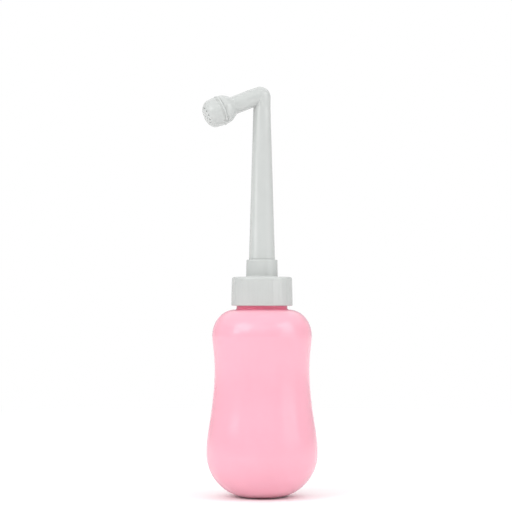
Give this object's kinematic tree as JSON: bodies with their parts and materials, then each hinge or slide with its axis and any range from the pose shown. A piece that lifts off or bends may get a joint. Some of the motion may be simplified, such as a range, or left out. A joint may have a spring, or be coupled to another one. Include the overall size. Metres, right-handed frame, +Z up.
{
  "type": "squeeze wash bottle",
  "caption": "Soft squeeze bottle with a waist, a fluted screw cap and a long tapered wand whose sloping arm ends in a bell and a push-on spray rose.",
  "frame": {"origin": "centre of the standing ring that the bottle rests on", "axes": "+Z up along the bottle's axis; the wand's arm points along -X and slopes down; +Y completes a right-handed frame"},
  "size_m": [0.0841, 0.08, 0.295],
  "materials": {
    "bottle_plastic": "soft satin",
    "moulded_plastic": "satin gloss",
    "tube_plastic": "natural, slightly cloudy",
    "seal_rubber": "matte"
  },
  "bodies": {
    "bottle": {"squeeze_bottle": "bottle_plastic"},
    "gasket": {"neck_gasket": "seal_rubber"},
    "cap": {"screw_cap": "moulded_plastic"},
    "wand": {"wand": "moulded_plastic", "wand_seal": "seal_rubber", "dip_tube": "tube_plastic", "rose_seal": "seal_rubber"},
    "rose": {"spray_rose": "moulded_plastic"}
  },
  "joints": [
    {"name": "cap_lift", "type": "slide", "parent": "bottle", "child": "gasket", "axis": [0, 0, 1], "range_m": [0, 0.0064]},
    {"name": "cap_turn", "type": "hinge", "parent": "gasket", "child": "cap", "pos_m": [0, 0, 0.145], "axis": [0, 0, 1], "range_deg": [0, 540]},
    {"name": "wand_swivel", "type": "hinge", "parent": "cap", "child": "wand", "pos_m": [0, 0, 0.16], "axis": [0, 0, 1], "continuous": true},
    {"name": "rose_pull", "type": "slide", "parent": "wand", "child": "rose", "axis": [-0.9252, 0, -0.3795], "range_m": [0, 0.008]}
  ],
  "couplings": [
    {"joint": "cap_lift", "follows": "cap_turn", "m_per_rad": 0.00067376}
  ]
}
